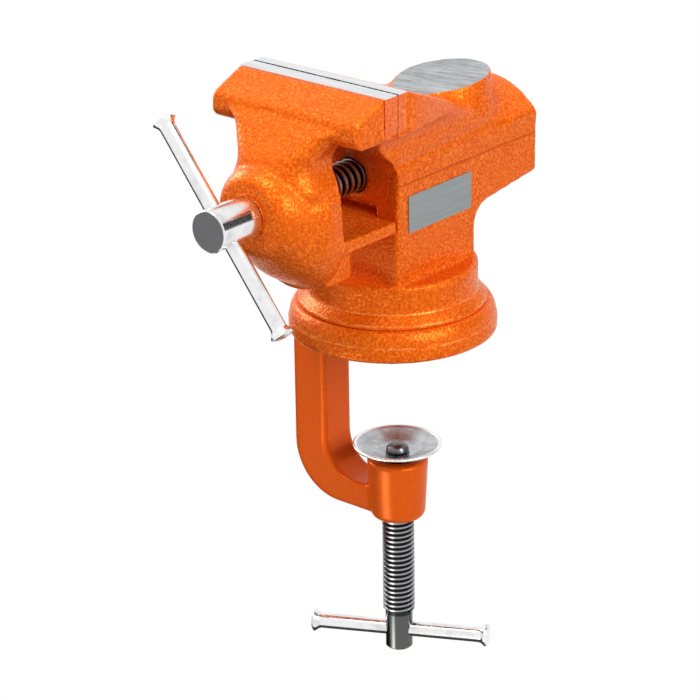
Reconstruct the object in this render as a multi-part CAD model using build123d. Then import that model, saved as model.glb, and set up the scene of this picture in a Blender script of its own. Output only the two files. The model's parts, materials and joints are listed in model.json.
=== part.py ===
from build123d import *
import os
from math import cos, pi, radians, sin, tan

# Table-clamp bench vise. Millimetres. The origin is on the swivel axis in the
# plane where the base disc rests on the bench. +Z is up, +Y points from the
# jaws to the anvil, +X is to the right of someone who faces the main screw.

# ---- running fits and gaps -------------------------------------------------
running_fit = 0.06
loose_fit = 0.15
joint_gap = 0.1
jaw_gap = 0.3
overrun = 1.0
root_overlap = 2.0
fine_edge = 0.3

# ---- jaws ------------------------------------------------------------------
jaw_width = 60.0
jaw_top = 94.3
jaw_plate_height = 12.8
fixed_plate_thickness = 4.3
moving_plate_thickness = 6.05
jaw_face_y = -32.4
tooth_pitch = 2.5
tooth_depth = 0.45
tooth_land_share = 0.3
plate_screw_spacing = 34.0

# ---- base disc and turntable ----------------------------------------------
disc_radius = 34.8
disc_rim_height = 5.0
disc_shoulder_radius = 34.2
disc_shoulder_drop = 2.4
disc_top_radius = 32.7
disc_height = 10.4
table_radius = 31.5
table_edge_height = 1.2
table_bevel = 0.2
drum_radius = 28.4
drum_foot_rise = 4.2
drum_foot_flare = 0.6
drum_foot_ease = 0.4
drum_rise = 13.7
edge_softening = 0.8

# ---- vise body -------------------------------------------------------------
body_width = 38.6
parting_step = 0.4
parting_drop = 6.6
body_front_y = -20.0
pedestal_rear_y = 19.7
body_rear_y = 53.0
overhang_root_z = 40.5
overhang_tip_z = 44.7
overhang_fillet = 8.0
shoulder_z = 64.8
cove_height = 15.0
arch_side_rise = 0.6
arch_height = 10.4
corbel_start_z = 60.7
corbel_top_z = 76.5
corbel_bulge = 0.5
corbel_reach_share = 0.44
back_slope = 22.0
flare_end_y = 27.0
cheek_straight = 3.0
cheek_waist = 1.2
jaw_rear_inset = 8.0
crown_rise = 1.5
crown_levels = [
    # share of the back slope's run, half width, radius of the top corners
    (-0.12, 31.0, 1.0),
    (0.06, 31.0, 1.0),
    (0.31, 28.0, 5.0),
    (0.54, 25.0, 9.0),
    (0.80, 22.8, 12.5),
    (1.04, 21.8, 14.5),
]

# ---- anvil -----------------------------------------------------------------
anvil_radius = 16.4
anvil_y = 26.2
anvil_top_z = 80.7
anvil_rise_rearwards = 6.3
anvil_rise_rightwards = 4.4
anvil_neck_depth = 12.0
anvil_neck_flare = 1.3

# ---- main spindle ----------------------------------------------------------
spindle_z = 58.3
spindle_radius = 5.6
spindle_pitch = 3.0
spindle_thread_depth = 1.3
spindle_head_radius = 6.95
spindle_head_length = 17.8
spindle_front_y = -88.0
spindle_rear_y = 50.0
spindle_front_edge = 0.5
spindle_rear_edge = 0.9
spindle_bar_inset = 6.6
spindle_bar_radius = 2.65
spindle_bar_length = 78.0
spindle_bar_angle = -51.7
spindle_bar_shift = 0.4
bar_end_radius = 3.9
bar_end_length = 3.2
bar_end_land = 1.4
bar_end_edge = 0.6

# ---- moving jaw ------------------------------------------------------------
nose_front_y = -53.2
nose_top_y = -51.9
nose_drop = 5.7
nose_top_round = 3.0
nose_bottom_round = 3.6
head_drop = 14.0
neck_rear_y = -45.5
neck_thickness = 4.0
neck_top_half_width = 17.7
neck_top_rise = 4.2
neck_foot_half_width = 18.75
neck_foot_z = 47.5
neck_foot_drop = 19.5
throat_levels = [
    # share of the rise from the spindle axis to the jaw top, half width, reach
    # in front of the neck's rear face, radius of the two front corners
    (0.797, 25.5, 6.5, 4.0),
    (0.714, 22.5, 9.3, 5.0),
    (0.603, 18.2, 13.0, 7.0),
    (0.506, 15.8, 16.2, 8.5),
    (0.408, 14.4, 18.4, 9.5),
    (0.311, 15.0, 19.0, 9.5),
    (0.186, 16.9, 18.0, 9.0),
    (0.047, 18.2, 16.5, 8.0),
]
boss_sections = [
    # reach in front of the neck's rear face, half width, drop below and rise
    # above the spindle axis, fullness of the curve (2 is an ellipse)
    (3.0, 18.7, 29.8, 14.7, 2.3),
    (10.5, 18.2, 25.2, 14.7, 2.25),
    (16.5, 16.4, 19.8, 14.5, 2.15),
    (21.0, 14.6, 15.3, 14.0, 2.05),
    (23.5, 12.4, 12.5, 12.2, 2.0),
    (24.3, 10.6, 10.7, 10.7, 2.0),
]
boss_curve_points = 24

# ---- slide of the moving jaw ----------------------------------------------
shelf_width = 37.6
shelf_top_z = 46.5
shelf_thickness = 4.0
shelf_root_width = 24.0
shelf_root_length = 10.8
slide_width = 19.6
slide_height = 7.0
slide_rise = 3.7
slide_setback = 6.0
slide_rear_y = 49.0
slide_side_gap = 0.2
slide_top_gap = 0.2

# ---- spindle nut and its screw --------------------------------------------
nut_width = 17.0
nut_length = 18.0
nut_front_y = -12.0
nut_top_z = 66.0
nut_gap = 0.05
nut_edge = 0.8
nut_screw_radius = 2.5
nut_screw_head_radius = 4.2
nut_screw_head_height = 2.6
nut_screw_y = -3.0
nut_screw_grip = 2.0
nut_screw_sink = 0.2
nut_screw_slot_depth = 1.0
nut_screw_slot_width = 1.1

# ---- collar that keeps the spindle in the moving jaw -----------------------
collar_radius = 8.0
collar_length = 4.4
collar_recess = 0.4
collar_pin_radius = 1.25
collar_pin_inset = 0.3
collar_pin_edge = 0.25
mouth_gap = 0.45

# ---- pivot bolt ------------------------------------------------------------
pivot_radius = 4.0
pivot_head_across_flats = 13.0
pivot_head_height = 5.3
pivot_length = 30.0
pivot_seat_z = 6.0
pivot_recess_radius = 8.4
pivot_pocket_radius = 9.6
pivot_floor_z = 24.0
washer_radius = 8.0
washer_thickness = 1.6
spring_washer_radius = 7.0
spring_washer_height = 2.0
spring_washer_slot = 1.2
pivot_nut_height = 6.5
pivot_bolt_edge = 0.8

# ---- table clamp -----------------------------------------------------------
clamp_axis_x = 1.5
column_outer_x = -38.9
column_thickness = 14.0
column_depth = 14.2
column_head_drop = 6.0
column_lip = 0.5
arm_top_z = -58.5
arm_bottom_z = -68.0
outer_bend = 19.0
inner_bend = 12.5
column_edge_round = 1.4
clamp_boss_top_z = -47.6
clamp_boss_bottom_z = -69.2
clamp_boss_top_radius = 10.4
clamp_boss_bottom_radius = 9.4
clamp_boss_edge = 0.6
clamp_boss_round = 2.2
clamp_boss_round_share = 0.3
clamp_screw_radius = 5.5
clamp_pitch = 1.75
clamp_thread_depth = 0.85
clamp_thread_top_z = -48.5
clamp_thread_bottom_z = -105.6
clamp_tail_radius = 4.7
clamp_tail_edge = 0.5
clamp_screw_bottom_z = -119.0
clamp_neck_radius = 3.0
clamp_rivet_radius = 3.9
clamp_rivet_side_radius = 3.6
clamp_rivet_side_height = 1.5
clamp_rivet_crown_radius = 2.3
clamp_rivet_crown_height = 2.7
clamp_rivet_height = 3.0
clamp_bar_radius = 2.65
clamp_bar_length = 62.8
clamp_bar_z = -112.4
clamp_bar_angle = 27.5
clamp_bar_shift = 0.4

# ---- pad of the table clamp ------------------------------------------------
pad_radius = 15.3
pad_rim_z = -42.0
pad_bottom_z = -46.6
pad_thickness = 1.2
pad_flat_radius = 5.4
pad_bead = 0.5
pad_wall_inset = 3.0
pad_wall_drop = 1.9
pad_lip_inset = 1.6
pad_lip_drop = 0.25

# ---- plate screws and rating plate ----------------------------------------
plate_screw_radius = 2.5
plate_screw_head_radius = 4.6
plate_screw_head_height = 2.4
plate_screw_bite = 7.5
plate_screw_hole_spare = 1.0
plate_screw_sink = 0.6
plate_screw_slot_depth = 1.0
plate_screw_slot_width = 1.2
label_length = 32.0
label_height = 12.5
label_thickness = 0.5
label_corner = 0.5
label_y = 1.0
label_z = 47.55

# ---- places that follow from the sizes above ------------------------------
table_z = disc_height + joint_gap
drum_foot_z = table_z + drum_foot_rise
drum_top_z = table_z + drum_rise
parting_height = shoulder_z - parting_drop
arch_top_z = shoulder_z + arch_height
jaw_rear_y = body_rear_y - jaw_rear_inset
jaw_half = jaw_width / 2
body_half = body_width / 2
upper_half = body_half - parting_step
jaw_bottom = jaw_top - jaw_plate_height
fixed_face_y = jaw_face_y + jaw_gap / 2
moving_face_y = jaw_face_y - jaw_gap / 2
fixed_seat_y = fixed_face_y + fixed_plate_thickness
moving_seat_y = moving_face_y - moving_plate_thickness
plate_screw_z = jaw_bottom + jaw_plate_height / 2
slope_foot_z = arch_top_z - 2 * root_overlap
slope_foot_y = fixed_seat_y + (jaw_top - slope_foot_z) / tan(radians(back_slope))
cove_top_z = shoulder_z + cove_height
shelf_bottom_z = shelf_top_z - shelf_thickness
slide_top_z = shelf_top_z + slide_rise
slide_bottom_z = slide_top_z - slide_height
passage_half = slide_width / 2 + slide_side_gap
passage_top_z = slide_top_z + slide_top_gap
passage_bottom_z = slide_bottom_z - slide_top_gap
nut_bottom_z = passage_top_z + nut_gap
overhang_slope = (overhang_tip_z - overhang_root_z) / (body_rear_y - pedestal_rear_y)
neck_top_z = spindle_z + neck_top_rise
nose_top_z = jaw_top - nose_drop
head_bottom_z = jaw_top - head_drop
boss_front_y = neck_rear_y - boss_sections[-1][0]
collar_rear_y = neck_rear_y - collar_recess
collar_front_y = collar_rear_y - collar_length
spindle_head_rear_y = spindle_front_y + spindle_head_length
spindle_bar_y = spindle_front_y + spindle_bar_inset
column_inner_x = column_outer_x + column_thickness
washer_top_z = pivot_floor_z + washer_thickness
spring_top_z = washer_top_z + spring_washer_height
neck_front_y = neck_rear_y - neck_thickness
rivet_bottom_z = pad_bottom_z + pad_thickness


def along_y(sketch, y_front, y_rear):
    """A sketch of (x, z) points made solid from y_front to y_rear."""
    return extrude(Plane.XZ.offset(-y_rear) * sketch, amount=y_rear - y_front)


def along_x(sketch, x_left, x_right):
    """A sketch of (y, z) points made solid from x_left to x_right."""
    return extrude(Plane.YZ.offset(x_left) * sketch, amount=x_right - x_left)


def along_z(sketch, z_low, z_high):
    """A sketch of (x, y) points made solid from z_low to z_high."""
    return extrude(Plane.XY.offset(z_low) * sketch, amount=z_high - z_low)


def block(x_low, x_high, y_low, y_high, z_low, z_high):
    """A rectangular block between two corners."""
    middle = Pos((x_low + x_high) / 2, (y_low + y_high) / 2, (z_low + z_high) / 2)
    return middle * Box(x_high - x_low, y_high - y_low, z_high - z_low)


def polygon(points):
    """A flat face inside straight runs between points."""
    return make_face(Polyline(*points, close=True))


def turned_z(points):
    """A solid turned about the swivel axis from (radius, z) points."""
    return revolve(Plane.XZ * polygon(points), Axis.Z)


def turned_spindle(points):
    """A solid turned about the spindle axis from (radius, y) points."""
    return Pos(0, 0, spindle_z) * revolve(polygon(points), Axis.Y)


def rod_y(radius, y_front, y_rear, x=0.0, z=0.0):
    """A round bar along Y."""
    return along_y(Pos(x, z) * Circle(radius), y_front, y_rear)


def rod_z(radius, z_low, z_high, x=0.0):
    """A round bar along Z."""
    return along_z(Pos(x, 0) * Circle(radius), z_low, z_high)


def soften(sketch, point, radius):
    """Rounds the corner of a sketch that lies nearest to a point."""
    corner = sketch.vertices().sort_by_distance((point[0], point[1], 0))[0]
    return fillet(corner, radius)


def thread_outline(radius, depth, pitch, start, end):
    """(radius, place) points of ring threads from start to end, places rising."""
    turns = int((end - start) / pitch)
    crest = pitch * 0.3
    flank = pitch * 0.2
    points = []
    for turn in range(turns):
        place = start + turn * pitch
        points.append((radius - depth, place))
        points.append((radius, place + flank))
        points.append((radius, place + flank + crest))
        points.append((radius - depth, place + 2 * flank + crest))
    points.append((radius - depth, start + turns * pitch))
    return points


def handle_bar(radius, length):
    """A bar along X, centred, with a button at each end."""
    half = length / 2
    neck = half - bar_end_length
    profile = [
        (-half, 0),
        (-half, bar_end_radius - bar_end_edge),
        (-half + bar_end_edge, bar_end_radius),
        (-half + bar_end_land, bar_end_radius),
        (-neck, radius),
        (neck, radius),
        (half - bar_end_land, bar_end_radius),
        (half - bar_end_edge, bar_end_radius),
        (half, bar_end_radius - bar_end_edge),
        (half, 0),
    ]
    return revolve(polygon(profile), Axis.X)


def jaw_plate(seat_y, face_y):
    """A hardened jaw plate with a serrated face towards face_y."""
    outwards = 1 if face_y > seat_y else -1
    teeth = int(jaw_width / tooth_pitch)
    step = jaw_width / teeth
    land = step * tooth_land_share
    points = [(-jaw_half, seat_y), (-jaw_half, face_y)]
    for tooth in range(teeth):
        left = -jaw_half + tooth * step
        points.append((left + land / 2, face_y))
        points.append((left + step / 2, face_y - outwards * tooth_depth))
        points.append((left + step - land / 2, face_y))
    points.append((jaw_half, face_y))
    points.append((jaw_half, seat_y))
    plate = along_z(polygon(points), jaw_bottom, jaw_top)
    rim_y = face_y - outwards * plate_screw_sink
    for side in (-1, 1):
        place = side * plate_screw_spacing / 2
        plate -= screw_rod(plate_screw_radius + running_fit, seat_y, face_y, place)
        plate -= screw_rod(plate_screw_head_radius + loose_fit, rim_y, face_y, place)
        plate -= plate_screw_head(rim_y, outwards, place, running_fit, loose_fit)
    return plate


def screw_rod(radius, one_y, other_y, x):
    """A round bar along Y at the height of the plate screws."""
    return rod_y(radius, min(one_y, other_y), max(one_y, other_y), x, plate_screw_z)


def plate_screw_head(rim_y, outwards, x, root_fit, rim_fit):
    """The countersunk cone of a plate screw, with its rim at rim_y."""
    root_y = rim_y - outwards * (plate_screw_head_height + rim_fit)
    points = [
        (0, root_y),
        (plate_screw_radius + root_fit, root_y),
        (plate_screw_head_radius + rim_fit, rim_y),
        (0, rim_y),
    ]
    return Pos(x, 0, plate_screw_z) * revolve(polygon(points), Axis.Y)


def plate_screw(rim_y, tip_y, outwards, x):
    """One countersunk screw with a straight slot."""
    slot_floor_y = rim_y - outwards * plate_screw_slot_depth
    slot = block(
        x - plate_screw_head_radius - overrun,
        x + plate_screw_head_radius + overrun,
        min(slot_floor_y, rim_y),
        max(slot_floor_y, rim_y),
        plate_screw_z - plate_screw_slot_width / 2,
        plate_screw_z + plate_screw_slot_width / 2,
    )
    screw = screw_rod(plate_screw_radius, rim_y, tip_y, x)
    screw += plate_screw_head(rim_y, outwards, x, 0, 0)
    screw -= slot
    return screw.solid()


def plate_screws(seat_y, face_y):
    """Two countersunk screws that hold a jaw plate."""
    outwards = 1 if face_y > seat_y else -1
    rim_y = face_y - outwards * plate_screw_sink
    tip_y = seat_y - outwards * plate_screw_bite
    half = plate_screw_spacing / 2
    return Compound([plate_screw(rim_y, tip_y, outwards, x) for x in (-half, half)])


def plate_screw_holes(seat_y, outwards):
    """Blind holes behind a jaw plate."""
    depth = plate_screw_bite + plate_screw_hole_spare
    bottom_y = seat_y - outwards * depth
    holes = None
    for side in (-1, 1):
        place = side * plate_screw_spacing / 2
        hole = screw_rod(plate_screw_radius + running_fit, seat_y, bottom_y, place)
        holes = hole if holes is None else holes + hole
    return holes


def turntable():
    """Round foot of the vise body, with the drum above it."""
    return turned_z([
        (0, table_z),
        (table_radius - table_bevel, table_z),
        (table_radius, table_z + table_bevel),
        (table_radius, table_z + table_edge_height),
        (drum_radius + drum_foot_flare, drum_foot_z - drum_foot_ease),
        (drum_radius, drum_foot_z + drum_foot_ease),
        (drum_radius, drum_top_z - edge_softening),
        (drum_radius - edge_softening, drum_top_z),
        (0, drum_top_z),
    ])


def lower_body():
    """Square pedestal and the rear overhang, up to the shoulder line."""
    outline = polygon([
        (body_front_y, drum_top_z - root_overlap),
        (body_front_y, shoulder_z),
        (body_rear_y, shoulder_z),
        (body_rear_y, overhang_tip_z),
        (pedestal_rear_y, overhang_root_z),
        (pedestal_rear_y, drum_top_z - root_overlap),
    ])
    outline = soften(outline, (pedestal_rear_y, overhang_root_z), overhang_fillet)
    whole = along_x(outline, -body_half, body_half)
    upright = whole.edges().filter_by(Axis.Z).group_by(Axis.Y)[0]
    whole = fillet(upright, edge_softening)
    past_front = body_front_y - overrun
    past_rear = body_rear_y + overrun
    past_top = shoulder_z + overrun
    above = block(-body_width, body_width, past_front, past_rear, parting_height, past_top)
    core = block(-upper_half, upper_half, past_front, past_rear, parting_height, past_top)
    return whole - (above - core)


def rear_arch():
    """Arched back of the body, behind and under the anvil."""
    side_z = shoulder_z + arch_side_rise
    outline = Line((-upper_half, side_z), (-upper_half, parting_height))
    outline += Line((-upper_half, parting_height), (upper_half, parting_height))
    outline += Line((upper_half, parting_height), (upper_half, side_z))
    outline += ThreePointArc((upper_half, side_z), (0, arch_top_z), (-upper_half, side_z))
    arch = along_y(make_face(outline), body_front_y + edge_softening, body_rear_y)
    ends = arch.edges().filter_by(GeomType.CIRCLE).group_by(Axis.Y)[-1]
    return fillet(ends, edge_softening)


def jaw_front_view():
    """Jaw block seen along Y: straight cheeks over a cove on each side."""
    cove = Spline((upper_half, shoulder_z), (jaw_half, cove_top_z), tangents=((0, 1), (1, 0)))
    outline = cove
    outline += Line((jaw_half, cove_top_z), (jaw_half, jaw_top))
    outline += Line((jaw_half, jaw_top), (-jaw_half, jaw_top))
    outline += Line((-jaw_half, jaw_top), (-jaw_half, cove_top_z))
    outline += mirror(cove, Plane.YZ)
    outline += Line((-upper_half, shoulder_z), (-upper_half, parting_height))
    outline += Line((-upper_half, parting_height), (upper_half, parting_height))
    outline += Line((upper_half, parting_height), (upper_half, shoulder_z))
    return make_face(outline)


def jaw_side_view():
    """Jaw block seen along X: corbel in front, plate seat, sloping back."""
    ledge_y = fixed_face_y
    corbel_middle_y = body_front_y - corbel_reach_share * (body_front_y - ledge_y)
    corbel_middle_z = (corbel_start_z + corbel_top_z) / 2 + corbel_bulge
    corbel = Spline(
        (body_front_y, corbel_start_z),
        (corbel_middle_y, corbel_middle_z),
        (ledge_y, corbel_top_z),
        tangents=((0, 1), (-1, 1.3)),
    )
    outline = corbel
    outline += Line((ledge_y, corbel_top_z), (ledge_y, jaw_bottom))
    outline += Line((ledge_y, jaw_bottom), (fixed_seat_y, jaw_bottom))
    outline += Line((fixed_seat_y, jaw_bottom), (fixed_seat_y, jaw_top))
    outline += Line((fixed_seat_y, jaw_top), (slope_foot_y, slope_foot_z))
    outline += Line((slope_foot_y, slope_foot_z), (slope_foot_y, parting_height))
    outline += Line((slope_foot_y, parting_height), (body_front_y, parting_height))
    outline += Line((body_front_y, parting_height), (body_front_y, corbel_start_z))
    return make_face(outline)


def jaw_plan():
    """Jaw block seen from above: full width at the plate, drawn in to the body."""
    front_y = fixed_face_y - overrun
    full_until = fixed_seat_y + cheek_straight
    waist = body_half + cheek_waist
    cheek = Spline(
        (jaw_half, full_until),
        (waist, flare_end_y),
        tangents=((-0.12, 1), (-0.04, 1)),
        tangent_scalars=(1.0, 1.6),
    )
    outline = cheek
    outline += Line((waist, flare_end_y), (upper_half, jaw_rear_y))
    outline += Line((upper_half, jaw_rear_y), (-upper_half, jaw_rear_y))
    outline += Line((-upper_half, jaw_rear_y), (-waist, flare_end_y))
    outline += mirror(cheek, Plane.YZ)
    outline += Line((-jaw_half, full_until), (-jaw_half, front_y))
    outline += Line((-jaw_half, front_y), (jaw_half, front_y))
    outline += Line((jaw_half, front_y), (jaw_half, full_until))
    return make_face(outline)


def crown_level(share, half_width, corner):
    """One upright section of the space under the jaw's crowned back."""
    y = fixed_seat_y + share * (slope_foot_y - fixed_seat_y)
    top_z = jaw_top + crown_rise - share * (jaw_top - slope_foot_z)
    outline = polygon([
        (-half_width, drum_top_z),
        (half_width, drum_top_z),
        (half_width, top_z),
        (-half_width, top_z),
    ])
    outline = soften(outline, (-half_width, top_z), corner)
    outline = soften(outline, (half_width, top_z), corner)
    return Plane.XZ.offset(-y) * outline


def crown():
    """Rounds the jaw's back off towards the arch."""
    return loft([crown_level(*level) for level in crown_levels], ruled=True)


def jaw_block():
    """Fixed jaw of the body, the shape common to its three views and its crown."""
    front = along_y(jaw_front_view(), jaw_face_y, jaw_rear_y)
    side = along_x(jaw_side_view(), -jaw_half, jaw_half)
    above = along_z(jaw_plan(), parting_height, jaw_top)
    return front & side & above & crown()


def anvil():
    """Round anvil that rises from the arch, its face ground at a slant."""
    low_z = anvil_top_z - anvil_neck_depth
    high_z = anvil_top_z + anvil_neck_depth
    neck = Pos(0, anvil_y, 0) * turned_z([
        (0, low_z),
        (anvil_radius + anvil_neck_flare, low_z),
        (anvil_radius - anvil_neck_flare, high_z),
        (0, high_z),
    ])
    face = Pos(0, anvil_y, anvil_top_z) * Rot(anvil_rise_rearwards, -anvil_rise_rightwards, 0)
    past_side = 2 * anvil_radius
    neck -= face * block(-past_side, past_side, -past_side, past_side, 0, 2 * anvil_neck_depth)
    rim = neck.faces().sort_by(Axis.Z)[-1].edges()
    return chamfer(rim, fine_edge)


def body_cavities():
    """Slide passage, spindle chamber and pivot pocket inside the body."""
    past_front = body_front_y - overrun
    past_rear = body_rear_y + overrun
    passage = along_x(
        polygon([
            (past_front, passage_bottom_z),
            (past_front, passage_top_z),
            (past_rear, passage_top_z),
            (past_rear, passage_bottom_z + overhang_slope * (past_rear - pedestal_rear_y)),
            (pedestal_rear_y, passage_bottom_z),
        ]),
        -passage_half,
        passage_half,
    )
    nut_half = nut_width / 2 + nut_gap
    chamber_top = nut_top_z + nut_gap
    chamber = block(-nut_half, nut_half, nut_front_y, past_rear, passage_top_z - overrun, chamber_top)
    mouth = rod_y(spindle_radius + mouth_gap, past_front, nut_front_y + overrun, 0, spindle_z)
    pocket = rod_z(pivot_pocket_radius, pivot_floor_z, passage_bottom_z + overrun)
    bore = rod_z(pivot_radius + running_fit, table_z - overrun, pivot_floor_z + overrun)
    return passage + chamber + mouth + pocket + bore


def nut_screw_hole():
    """Stepped hole in the left cheek for the screw that holds the nut."""
    shank = rod_y(nut_screw_radius + running_fit, 0, body_half)
    seat_y = body_half - nut_screw_head_height
    head = rod_y(nut_screw_head_radius + loose_fit, seat_y, body_half + overrun)
    hole = Rot(0, 0, 90) * (shank + head)
    return Pos(0, nut_screw_y, spindle_z) * hole


def vise_body():
    """Cast body: turntable, pedestal, fixed jaw and anvil in one piece."""
    casting = turntable() + lower_body() + rear_arch() + jaw_block() + anvil()
    casting -= body_cavities()
    casting -= plate_screw_holes(fixed_seat_y, -1)
    return casting - nut_screw_hole()


def moving_head():
    """Jaw head of the moving casting, with its rounded nose."""
    outline = polygon([
        (moving_seat_y, jaw_top),
        (nose_top_y, nose_top_z),
        (nose_front_y, head_bottom_z),
        (moving_face_y, head_bottom_z),
        (moving_face_y, jaw_bottom),
        (moving_seat_y, jaw_bottom),
    ])
    outline = soften(outline, (nose_top_y, nose_top_z), nose_top_round)
    outline = soften(outline, (nose_front_y, head_bottom_z), nose_bottom_round)
    return along_x(outline, -jaw_half, jaw_half)


def neck():
    """Flat neck of the moving casting with its round foot."""
    outline = Line((neck_top_half_width, neck_top_z), (neck_foot_half_width, neck_foot_z))
    outline += ThreePointArc(
        (neck_foot_half_width, neck_foot_z),
        (0, neck_foot_z - neck_foot_drop),
        (-neck_foot_half_width, neck_foot_z),
    )
    outline += Line((-neck_foot_half_width, neck_foot_z), (-neck_top_half_width, neck_top_z))
    outline += Line((-neck_top_half_width, neck_top_z), (neck_top_half_width, neck_top_z))
    return along_y(make_face(outline), neck_front_y, neck_rear_y)


def throat_level(share, half_width, reach, corner):
    """One level section of the throat: flat at the rear, rounded in front."""
    front_y = neck_rear_y - reach
    outline = polygon([
        (-half_width, front_y),
        (half_width, front_y),
        (half_width, neck_rear_y),
        (-half_width, neck_rear_y),
    ])
    outline = soften(outline, (-half_width, front_y), corner)
    outline = soften(outline, (half_width, front_y), corner)
    return Pos(0, 0, spindle_z + share * (jaw_top - spindle_z)) * outline


def throat():
    """Waisted part of the casting between the head and the boss."""
    return loft([throat_level(*level) for level in throat_levels])


def signed_power(value, exponent):
    """A power that keeps the sign of the value."""
    return abs(value) ** exponent * (1 if value > 0 else -1)


def boss_section(reach, half_width, drop, rise, fullness):
    """One egg-shaped section of the boss, across the spindle."""
    middle_z = spindle_z + (rise - drop) / 2
    half_height = (drop + rise) / 2
    exponent = 2 / fullness
    points = []
    for index in range(boss_curve_points):
        turn = 2 * pi * index / boss_curve_points
        x = half_width * signed_power(cos(turn), exponent)
        z = middle_z + half_height * signed_power(sin(turn), exponent)
        points.append((x, neck_rear_y - reach, z))
    return make_face(Spline(*points, periodic=True))


def boss():
    """Rounded boss in front of the neck that carries the spindle."""
    return loft([boss_section(*section) for section in boss_sections])


def slide():
    """Shelf under the spindle and the tongue that slides in the body."""
    shelf_half = shelf_width / 2
    shelf_rear_y = body_front_y - jaw_gap
    front_y = neck_rear_y - overrun
    shelf = block(-shelf_half, shelf_half, front_y, shelf_rear_y, shelf_bottom_z, shelf_top_z)
    root_half = shelf_root_width / 2
    root_rear_y = neck_rear_y + shelf_root_length
    root_bottom_z = neck_foot_z - neck_foot_drop + root_overlap
    root = block(-root_half, root_half, front_y, root_rear_y, root_bottom_z, shelf_top_z - overrun)
    tongue_face = polygon([
        (shelf_rear_y - overrun, slide_bottom_z),
        (shelf_rear_y - overrun, shelf_top_z),
        (body_front_y + slide_setback, shelf_top_z),
        (body_front_y + slide_setback, slide_top_z),
        (slide_rear_y, slide_top_z),
        (slide_rear_y, slide_bottom_z + overhang_slope * (slide_rear_y - pedestal_rear_y)),
        (pedestal_rear_y, slide_bottom_z),
    ])
    tongue = along_x(tongue_face, -slide_width / 2, slide_width / 2)
    return shelf + root + tongue


def moving_jaw():
    """Moving casting: head, neck, boss and slide in one piece."""
    casting = moving_head() + neck() + throat() + boss() + slide()
    past_rear = neck_rear_y + overrun
    casting -= rod_y(spindle_radius + running_fit, boss_front_y - overrun, past_rear, 0, spindle_z)
    casting -= rod_y(collar_radius + 2 * loose_fit, collar_front_y - joint_gap, past_rear, 0, spindle_z)
    return casting - plate_screw_holes(moving_seat_y, 1)


def main_spindle():
    """Main screw: turned head with a cross hole, plain journal, coarse thread."""
    thread_start = neck_rear_y + overrun
    thread_end = spindle_rear_y - root_overlap
    root_radius = spindle_radius - spindle_thread_depth
    points = [
        (0, spindle_front_y),
        (spindle_head_radius - spindle_front_edge, spindle_front_y),
        (spindle_head_radius, spindle_front_y + spindle_front_edge),
        (spindle_head_radius, spindle_head_rear_y - spindle_rear_edge),
        (spindle_head_radius - spindle_rear_edge, spindle_head_rear_y),
        (spindle_radius, spindle_head_rear_y),
        (spindle_radius, thread_start - fine_edge),
    ]
    points += thread_outline(
        spindle_radius,
        spindle_thread_depth,
        spindle_pitch,
        thread_start,
        thread_end,
    )
    points += [(root_radius, spindle_rear_y), (0, spindle_rear_y)]
    bar_hole = Rot(0, 90, 0) * Cylinder(spindle_bar_radius + running_fit, 3 * spindle_head_radius)
    bar_hole = Pos(0, spindle_bar_y, spindle_z) * Rot(0, -spindle_bar_angle, 0) * bar_hole
    return turned_spindle(points) - bar_hole - collar_pin_hole()


def collar_pin_hole():
    """Upright hole through the collar and the spindle."""
    middle_y = (collar_front_y + collar_rear_y) / 2
    hole = Cylinder(collar_pin_radius + running_fit / 2, 3 * collar_radius)
    return Pos(0, middle_y, spindle_z) * hole


def spindle_collar():
    """Ring that stops the spindle from drawing out of the moving jaw."""
    ring = rod_y(collar_radius, collar_front_y, collar_rear_y, 0, spindle_z)
    past_front = collar_front_y - overrun
    past_rear = collar_rear_y + overrun
    ring -= rod_y(spindle_radius + running_fit, past_front, past_rear, 0, spindle_z)
    return ring - collar_pin_hole()


def collar_pin():
    """Pin through the collar and the spindle."""
    middle_y = (collar_front_y + collar_rear_y) / 2
    pin = Cylinder(collar_pin_radius, 2 * (collar_radius - collar_pin_inset))
    pin = chamfer(pin.edges().filter_by(GeomType.CIRCLE), collar_pin_edge)
    return Pos(0, middle_y, spindle_z) * pin


def spindle_handle():
    """Tommy bar of the main spindle."""
    bar = Pos(spindle_bar_shift, 0, 0) * handle_bar(spindle_bar_radius, spindle_bar_length)
    return Pos(0, spindle_bar_y, spindle_z) * Rot(0, -spindle_bar_angle, 0) * bar


def spindle_nut():
    """Rectangular nut that sits above the slide in the body."""
    half = nut_width / 2
    rear_y = nut_front_y + nut_length
    nut = block(-half, half, nut_front_y + nut_gap, rear_y, nut_bottom_z, nut_top_z)
    nut = chamfer(nut.edges().filter_by(Axis.Y), nut_edge)
    nut -= rod_y(spindle_radius + running_fit, nut_front_y - overrun, rear_y + overrun, 0, spindle_z)
    return nut - nut_screw_hole()


def nut_screw():
    """Slotted screw through the left cheek into the nut."""
    tip = nut_width / 2 - nut_screw_grip
    seat = body_half - nut_screw_head_height + nut_gap
    top = body_half - nut_screw_sink
    shank = rod_y(nut_screw_radius, tip, seat + nut_gap)
    head = rod_y(nut_screw_head_radius, seat, top)
    slot_half = nut_screw_slot_width / 2
    slot_floor = top - nut_screw_slot_depth
    past_side = nut_screw_head_radius + overrun
    slot = block(-past_side, past_side, slot_floor, top + overrun, -slot_half, slot_half)
    screw = Rot(0, 0, 90) * (shank + head - slot)
    return Pos(0, nut_screw_y, spindle_z) * screw


def name_plate():
    """Bare grey plate on the right cheek."""
    length_half = label_length / 2
    height_half = label_height / 2
    plate = block(
        body_half,
        body_half + label_thickness,
        label_y - length_half,
        label_y + length_half,
        label_z - height_half,
        label_z + height_half,
    )
    return fillet(plate.edges().filter_by(Axis.X), label_corner)


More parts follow.
